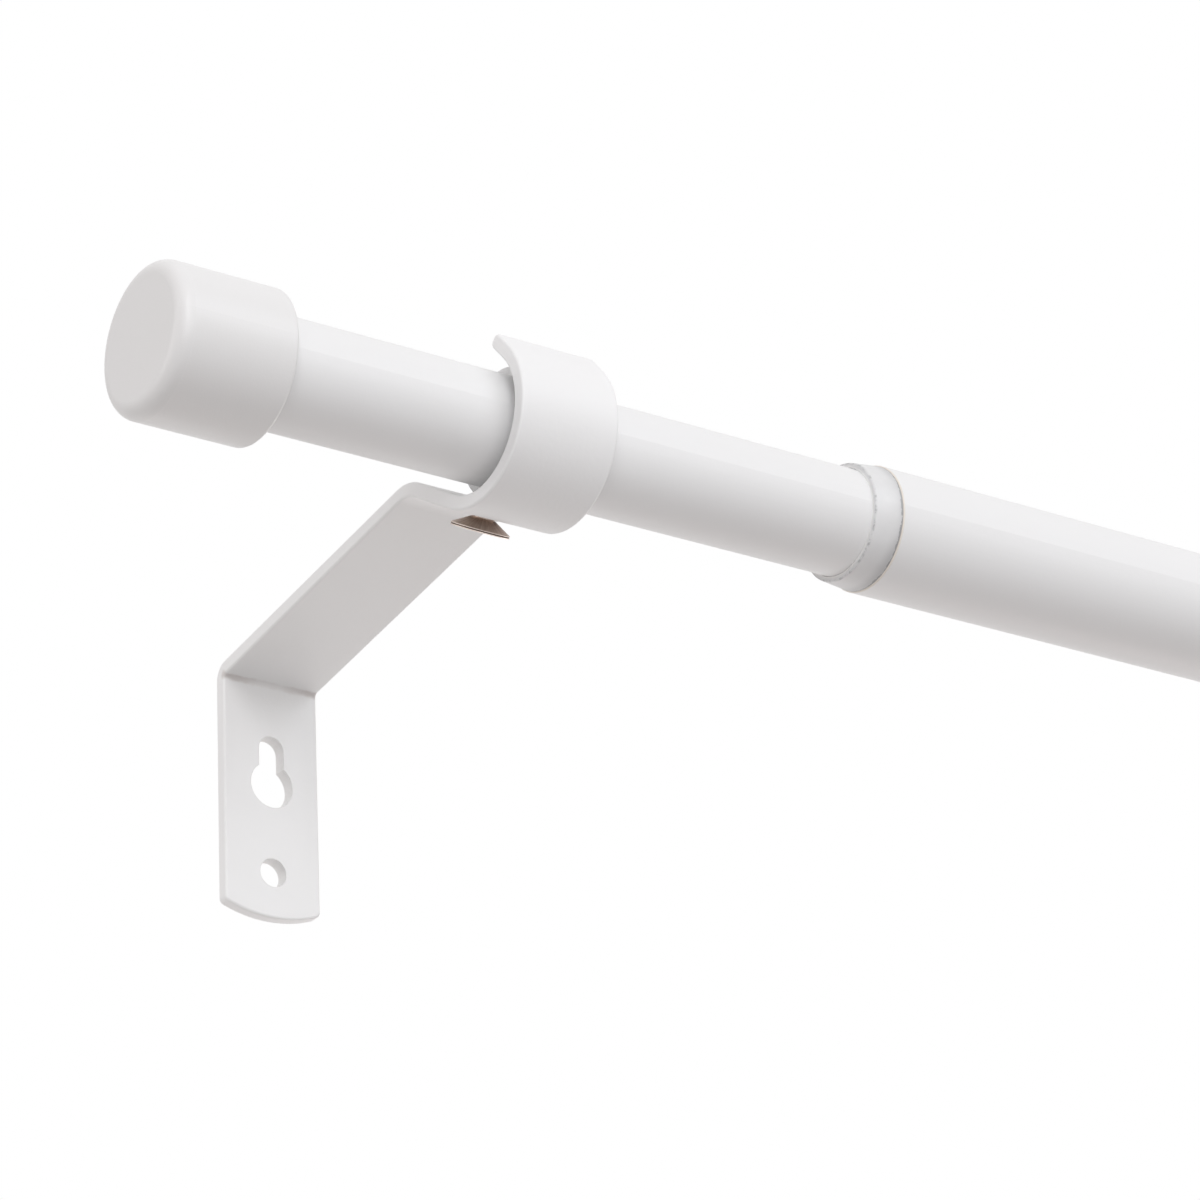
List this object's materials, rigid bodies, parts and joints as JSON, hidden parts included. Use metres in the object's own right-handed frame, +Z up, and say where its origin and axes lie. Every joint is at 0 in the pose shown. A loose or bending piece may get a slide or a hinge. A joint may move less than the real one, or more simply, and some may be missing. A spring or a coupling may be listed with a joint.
{
  "type": "extendable curtain rod",
  "caption": "Telescoping curtain rod with capped ends, a clear collar at the joint and bent-strip wall brackets that hook round the rod and clamp it with a screw.",
  "frame": {"origin": "on the wall face of the left bracket, in the middle of the strip's width, midway between its round hole and its keyhole's head hole", "axes": "+X along the rod to the right, +Y into the wall so that the room is on the -Y side, +Z up"},
  "size_m": [0.7384, 0.0823, 0.0597],
  "materials": {
    "bracket_paint": "satin white powder coat",
    "tube_paint": "satin white paint",
    "clear_plastic": "clear moulded plastic",
    "inner_plastic": "plain moulded plastic",
    "cap_plastic": "satin white moulded plastic",
    "screw_metal": "nickel plate with a brown tint"
  },
  "bodies": {
    "left_support": {"left_bracket": "bracket_paint", "hook_sleeve": "clear_plastic", "thin_tube": "tube_paint", "guide_plug": "inner_plastic"},
    "sliding_half": {"thick_tube": "tube_paint", "joint_collar": "clear_plastic", "right_bracket": "bracket_paint"},
    "left_cap": {"left_end_cap": "cap_plastic", "left_cap_sleeve": "inner_plastic"},
    "right_cap": {"right_end_cap": "cap_plastic"},
    "left_screw": {"left_clamp_screw": "screw_metal"},
    "right_screw": {"right_clamp_screw": "screw_metal"}
  },
  "joints": [
    {"name": "rod_extend", "type": "slide", "parent": "left_support", "child": "sliding_half", "axis": [1, 0, 0], "range_m": [-0.04, 0.46]},
    {"name": "left_cap_pull", "type": "slide", "parent": "left_support", "child": "left_cap", "axis": [-1, 0, 0], "range_m": [0, 0.025]},
    {"name": "right_cap_pull", "type": "slide", "parent": "sliding_half", "child": "right_cap", "axis": [1, 0, 0], "range_m": [0, 0.025]},
    {"name": "left_clamp", "type": "slide", "parent": "left_support", "child": "left_screw", "axis": [0, 0.5284, -0.849], "range_m": [0, 0.0024]},
    {"name": "right_clamp", "type": "slide", "parent": "sliding_half", "child": "right_screw", "axis": [0, 0.5284, -0.849], "range_m": [0, 0.0024]}
  ]
}
